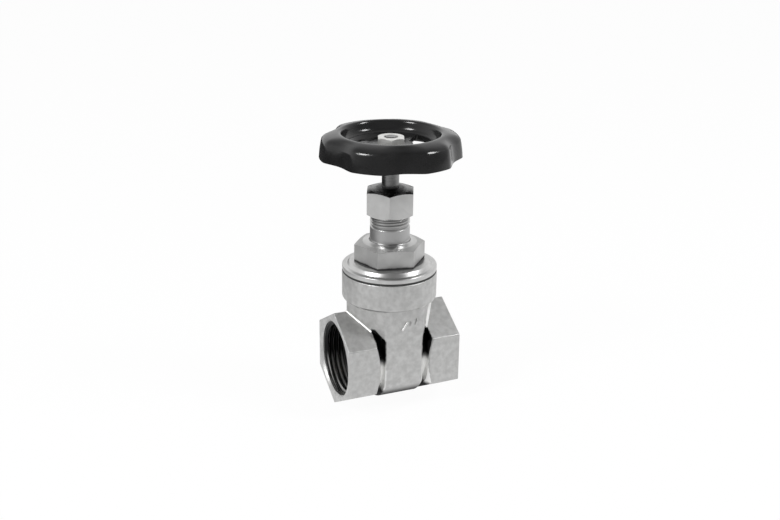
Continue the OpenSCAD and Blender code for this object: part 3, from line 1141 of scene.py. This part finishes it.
@dataclass
class Stem:
    """The stem with its screw, collar, plain shank, square and threaded tip."""

    screw_radius: float = 4.0
    screw_root: float = 3.2
    screw_low: float = 14.6
    lead: float = 3.6
    screw_turns: float = 7.2
    collar_z: float = 54.1
    collar_top: float = 57.1
    collar_radius: float = 6.52
    shank_radius: float = 3.74
    square: float = 5.2
    square_z: float = 93.9
    square_top: float = 95.7
    tip_radius: float = 3.0
    tip_root: float = 2.55
    tip_top: float = 99.0

    def build(self) -> list[bpy.types.Object]:
        """Builds the stem in one object."""
        screw_top = self.screw_low + 7 * self.lead
        outline = [(0, self.screw_low), (self.screw_root, self.screw_low),
                   (self.screw_root, screw_top), (self.screw_radius, screw_top + 0.8),
                   (self.screw_radius, self.collar_z), (self.collar_radius, self.collar_z),
                   (self.collar_radius, self.collar_top), (self.shank_radius, self.collar_top),
                   (self.shank_radius, self.square_z), (0, self.square_z)]
        shank = Bench.turned(Bench.eased(outline, 0.25, 2, keep=(0, 9)), steps=64)
        screw = Bench.ridge(self.screw_root - 0.02, self.screw_radius, self.lead,
                            self.screw_low + 1.0, self.screw_turns, steps=48, starts=2)
        key = bmesh.new()
        rise = self.square_top - self.square_z + 0.8
        spot = (Matrix.Translation((0, 0, self.square_top - rise / 2))
                @ Matrix.Diagonal((self.square, self.square, rise, 1.0)))
        bmesh.ops.create_cube(key, size=1.0, matrix=spot)
        Bench.soften(key, 0.2, segments=2)
        tip_outline = [(0, self.square_top - 1), (self.tip_root, self.square_top - 1),
                       (self.tip_root, self.tip_top - 0.35), (self.tip_root - 0.35, self.tip_top),
                       (0, self.tip_top)]
        tip = Bench.turned(tip_outline, steps=48)
        thread = Bench.ridge(self.tip_root - 0.02, self.tip_radius, 1.0, self.square_top + 0.3,
                             self.tip_top - self.square_top - 0.7, steps=36)
        bm = Bench.merge([shank, screw, key, tip, thread])
        Bench.place(bm, Axis.STEM)
        # The dark finish is partly painted shade under the handwheel.
        obj = Bench.finish(bm, "stem_turned", Palette.STEM.build(), smooth_angle=35.0)
        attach(obj, "spindle")
        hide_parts("stem")
        return [obj]


@dataclass
class Handwheel:
    """The pressed handwheel: dished web with windows, round ridge and lobed skirt."""

    sheet: float = 1.9
    lobes: int = 6
    first_hollow: float = 17.5
    hollow: float = 2.6
    hollow_reach: float = 18.6
    web: list[tuple[float, float]] = field(default_factory=lambda: [
        (2.7, 95.8), (6.0, 95.8), (9.0, 95.8), (13.0, 95.8), (16.5, 95.8), (18.0, 95.9), (19.1, 96.2),
        (19.9, 96.8), (20.4, 97.7), (20.75, 98.9), (20.95, 99.75), (21.2, 100.35), (21.6, 100.72),
        (22.2, 100.88), (23.0, 100.85), (24.2, 100.65), (25.6, 100.3), (26.9, 99.9), (28.0, 99.4),
        (28.75, 98.8),
        (29.35, 98.0), (29.65, 96.9), (29.9, 95.4), (30.15, 93.8), (30.3, 92.4), (30.42, 91.1),
        (30.5, 90.3)])
    spoke: float = 11.0
    press_from: float = 22.6
    press_full: float = 28.0
    window_in: float = 9.4
    window_out: float = 18.2
    window_low: float = 86.0
    window_high: float = 100.0
    window_round: float = 1.5
    windows: int = 3
    windows_from: float = 47.5
    edge: float = 0.3
    steps: int = 180

    def _press(self, bm: bmesh.types.BMesh) -> None:
        """Moves the skirt inwards at the finger hollows.

        Args:
            bm: the spun sheet.
        """
        for v in bm.verts:
            radius = math.hypot(v.co.x, v.co.y)
            reach = min(1.0, max(0.0, (radius - self.press_from) / (self.press_full - self.press_from)))
            reach = reach * reach * (3 - 2 * reach)
            if reach <= 0.0:
                continue
            angle = math.degrees(math.atan2(v.co.y, v.co.x)) - self.first_hollow
            period = 360.0 / self.lobes
            off = abs((angle + period / 2) % period - period / 2) / self.hollow_reach
            wave = max(0.0, 1.0 - off * off) ** 1.5
            goal = radius - self.hollow * reach * wave
            v.co.x *= goal / radius
            v.co.y *= goal / radius

    def _window(self, angle: float) -> bmesh.types.BMesh:
        """Makes the tool that cuts one window.

        Args:
            angle: direction of the window's middle, in degrees.

        Returns:
            A closed sector with rounded corners.
        """
        half = self.spoke / 2
        arc = 12
        points = []
        for radius, sign in ((self.window_out, 1), (self.window_in, -1)):
            limit = math.pi / self.windows - math.asin(half / radius)
            span = [limit * k / arc for k in range(-arc, arc + 1)]
            points += [(radius * math.cos(a * sign), radius * math.sin(a * sign)) for a in span]
        outline = Bench.sheet([(x, y, self.window_low) for x, y in points])
        outline.verts.ensure_lookup_table()
        corners = [outline.verts[k] for k in (0, 2 * arc, 2 * arc + 1, 4 * arc + 1)]
        bmesh.ops.bevel(outline, geom=corners, offset=self.window_round, offset_type="OFFSET",
                        affect="VERTICES", segments=5, profile=0.5, material=-1, clamp_overlap=False)
        Bench.extruded(outline, (0, 0, self.window_high - self.window_low))
        bmesh.ops.rotate(outline, verts=outline.verts, cent=(0, 0, 0),
                         matrix=Matrix.Rotation(math.radians(angle), 3, "Z"))
        return outline

    def build(self) -> list[bpy.types.Object]:
        """Presses the sheet, cuts its windows and rounds their edges."""
        bm = bmesh.new()
        verts = [bm.verts.new((r, 0.0, z)) for r, z in self.web]
        edges = [bm.edges.new(pair) for pair in zip(verts, verts[1:])]
        bmesh.ops.spin(bm, geom=verts + edges, cent=(0, 0, 0), axis=(0, 0, 1), angle=math.tau,
                       steps=self.steps, use_merge=True)
        bmesh.ops.remove_doubles(bm, verts=bm.verts, dist=1e-4)
        self._press(bm)
        bmesh.ops.recalc_face_normals(bm, faces=bm.faces)
        if sum(f.normal.z * f.calc_area() for f in bm.faces if f.calc_center_median().z < 97) < 0:
            bmesh.ops.reverse_faces(bm, faces=bm.faces)
        bmesh.ops.solidify(bm, geom=list(bm.faces), thickness=self.sheet)
        bmesh.ops.recalc_face_normals(bm, faces=bm.faces)
        for k in range(self.windows):
            middle = self.windows_from + 360.0 * (k + 0.5) / self.windows
            bm = Bench.carve(bm, self._window(middle), Cut.REMOVE)
        Bench.soften(bm, self.edge, angle=50.0, segments=3)
        Bench.place(bm, Axis.STEM)
        obj = Bench.finish(bm, "handwheel_enamelled", Palette.ENAMEL.build(), smooth_angle=45.0)
        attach(obj, "spindle")
        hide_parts("handwheel")
        return [obj]


@dataclass
class WheelNut:
    """The hexagon nut that holds the handwheel."""

    edge: float = 0.18

    def build(self) -> list[bpy.types.Object]:
        """Builds the nut from its solid with eased edges."""
        bm = Bench.soften(Bench.from_node("wheel_nut"), self.edge, angle=18.0, segments=2)
        obj = Bench.finish(bm, "wheel_nut_plated", Palette.ZINC.build(), tidy=False)
        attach(obj, "spindle")
        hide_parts("wheel_nut")
        return [obj]


@dataclass
class Wedge:
    """The brass wedge that closes the waterway."""

    edge: float = 0.35

    def build(self) -> list[bpy.types.Object]:
        """Builds the wedge from its solid with eased edges."""
        bm = Bench.soften(Bench.from_node("gate"), self.edge, angle=24.0, segments=3)
        obj = Bench.finish(bm, "wedge_machined", Palette.BRASS.build(), tidy=False)
        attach(obj, "wedge")
        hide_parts("gate")
        return [obj]


@dataclass
class HiddenPieces:
    """Solids that keep their own shape: gasket, packing and follower."""

    finishes: dict[str, Finish] = field(default_factory=lambda: {
        "bonnet_gasket": Palette.RUBBER, "packing": Palette.PACKING,
        "gland_follower": Palette.BRASS})

    def build(self) -> list[bpy.types.Object]:
        """Gives each solid its finish."""
        dressed = []
        for node, finish in self.finishes.items():
            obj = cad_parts[node]
            obj.data.materials.clear()
            obj.data.materials.append(finish.build())
            dressed.append(obj)
        return dressed


# ---------------------------------------------------------------------- studio
@dataclass
class Studio:
    """Floor, world, lamps and camera."""

    floor_z: float = -21.96
    azimuth: float = -23.451
    elevation: float = 21.031
    distance: float = 485.26
    lens: float = 50.88
    aim_z: float = 40.0
    roll: float = 0.724
    shift: tuple[float, float] = (0.00076, 0.00868)
    floor_reach: float = 3.0
    floor_tone: float = 0.86
    lamps: tuple[tuple[str, float, float], ...] = (("key_left", -75, 4.3), ("fill_right", 55, 3.9))
    lamp_elevation: float = 41
    lamp_away: float = 900
    lamp_size: tuple[float, float] = (210, 250)
    ambient: float = 0.5
    zenith: float = 0.45
    overhead_fade: tuple[float, float] = (0.42, 0.85)
    sweep_fade: tuple[float, float] = (-0.55, 0.25)
    room: float = 0.26
    glow: float = 0.96
    screen: float = 0.03
    front_fade: tuple[float, float] = (-0.62, -0.12)
    card_way: tuple[float, float, float] = (-0.5, 0.866, 0.0)
    card_fade: tuple[float, float] = (0.12, 0.22)

    @staticmethod
    def _sees_background(net: Wiring) -> bpy.types.NodeSocket:
        """Tells the rays that see the white background from those that light the object.

        Args:
            net: the wiring of the tree that gets the nodes.

        Returns:
            A factor of 1 for camera, glossy and transmission rays.
        """
        path = net.add("LightPath")
        direct = net.maths("MAXIMUM", path["Is Camera Ray"], path["Is Glossy Ray"])
        return net.maths("MAXIMUM", direct, path["Is Transmission Ray"])

    def world(self) -> None:
        """Surrounds the scene with a white sweep that darkens overhead and behind the camera."""
        world = bpy.data.worlds.new("studio_world")
        bpy.context.scene.world = world
        world.use_nodes = True
        world.node_tree.nodes.clear()
        net = Wiring(world.node_tree)
        split = net.add("SeparateXYZ", {"Vector": net.add("TexCoord")["Generated"]})
        height = net.fade(split["Z"], self.overhead_fade, (1.0, self.zenith))
        front = net.fade(split["Y"], self.sweep_fade, (self.room, 1.0))
        seen = net.add("Background", {"Color": WHITE, "Strength": net.maths("MULTIPLY", height, front)})
        lit = net.add("Background", {"Color": WHITE, "Strength": self.ambient})
        mix = net.add("MixShader", {"Fac": self._sees_background(net), 1: lit["Background"],
                                    2: seen["Background"]})
        net.add("OutputWorld", {"Surface": mix["Shader"]})

    def _floor_material(self) -> bpy.types.Material:
        """Makes the floor's finish: white to the camera, and darker in reflections off to the sides."""
        mat = bpy.data.materials.new("pale_floor")
        mat.use_nodes = True
        mat.node_tree.nodes.clear()
        net = Wiring(mat.node_tree)
        spot = net.add("TexCoord")["Object"]
        aside = net.add("SeparateXYZ", {"Vector": spot})["Y"]
        front = net.fade(aside, self.front_fade, (self.room, 1.0))
        behind = net.add("VectorMath", {0: spot, 1: self.card_way}, operation="DOT_PRODUCT")["Value"]
        card = net.fade(behind, self.card_fade, (1.0, self.screen))
        level = net.maths("MAXIMUM", net.add("LightPath")["Is Camera Ray"],
                          net.maths("MULTIPLY", front, card))
        matt = net.add("BsdfDiffuse", {"Color": (*(self.floor_tone,) * 3, 1.0)})
        glow = net.add("Emission", {"Color": WHITE, "Strength": level})
        share = net.maths("MULTIPLY", self._sees_background(net), self.glow)
        mix = net.add("MixShader", {"Fac": share, 1: matt["BSDF"], 2: glow["Emission"]})
        net.add("OutputMaterial", {"Surface": mix["Shader"]})
        return mat

    def floor(self) -> None:
        """Lays a pale floor that keeps the valve's soft shadow."""
        bm = bmesh.new()
        bmesh.ops.create_grid(bm, x_segments=1, y_segments=1, size=self.floor_reach,
                              matrix=Matrix.Translation((ValveAxes.STEM_X * MM, 0, self.floor_z * MM)))
        mesh = bpy.data.meshes.new("floor")
        bm.to_mesh(mesh)
        bm.free()
        mesh.materials.append(self._floor_material())
        obj = bpy.data.objects.new("floor", mesh)
        bpy.context.scene.collection.objects.link(obj)

    def lamp(self, name: str, azimuth: float, power: float) -> None:
        """Hangs one soft lamp that looks at the valve.

        Args:
            name: name of the lamp.
            azimuth: its direction round the valve, in degrees from the front.
            power: its power in watts.
        """
        data = bpy.data.lights.new(name, "AREA")
        data.shape, data.energy = "RECTANGLE", power
        data.size, data.size_y = (side * MM for side in self.lamp_size)
        self._hang(name, data, azimuth, self.lamp_elevation, self.lamp_away)

    @staticmethod
    def _direction(azimuth: float, elevation: float) -> Vector:
        """Returns the unit vector towards an azimuth and an elevation, in degrees."""
        az, el = math.radians(azimuth), math.radians(elevation)
        return Vector((math.sin(az) * math.cos(el), -math.cos(az) * math.cos(el), math.sin(el)))

    def _hang(self, name: str, data: bpy.types.ID, azimuth: float, elevation: float, away: float,
              roll: float = 0.0) -> bpy.types.Object:
        """Puts a lamp or a camera round the valve, turned towards it.

        Args:
            name: name of the object.
            data: the lamp or the camera.
            azimuth: its direction round the valve, in degrees from the front.
            elevation: its direction above the floor, in degrees.
            away: its distance, in millimetres.
            roll: how far it is turned about its own view, in degrees.

        Returns:
            The new object.
        """
        obj = bpy.data.objects.new(name, data)
        way = self._direction(azimuth, elevation)
        aim = Vector((ValveAxes.STEM_X, 0, self.aim_z))
        obj.matrix_world = (Matrix.Translation((aim + way * away) * MM)
                            @ way.to_track_quat("Z", "Y").to_matrix().to_4x4()
                            @ Matrix.Rotation(math.radians(roll), 4, "Z"))
        bpy.context.scene.collection.objects.link(obj)
        return obj

    def camera(self) -> None:
        """Sets the camera at the object's viewing angle."""
        data = bpy.data.cameras.new("camera")
        data.lens, data.sensor_width = self.lens, 36.0
        data.clip_start, data.clip_end = 0.01, 50.0
        data.shift_x, data.shift_y = self.shift
        bpy.context.scene.camera = self._hang("camera", data, self.azimuth, self.elevation,
                                              self.distance, self.roll)

    def build(self) -> None:
        """Sets up the whole studio."""
        self.camera()
        self.world()
        self.floor()
        for name, azimuth, power in self.lamps:
            self.lamp(name, azimuth, power)
        bpy.context.scene.view_settings.view_transform = "Standard"


def main() -> None:
    """Builds every sub-assembly in order and reports its pieces."""
    for part in (Body(), Bonnet(), Gland(), Stem(), Handwheel(), WheelNut(), Wedge(), HiddenPieces()):
        for obj in part.build():
            log.info("%s: %s, %d faces", type(part).__name__, obj.name, len(obj.data.polygons))
    Studio().build()


if __name__ == "__main__":
    main()
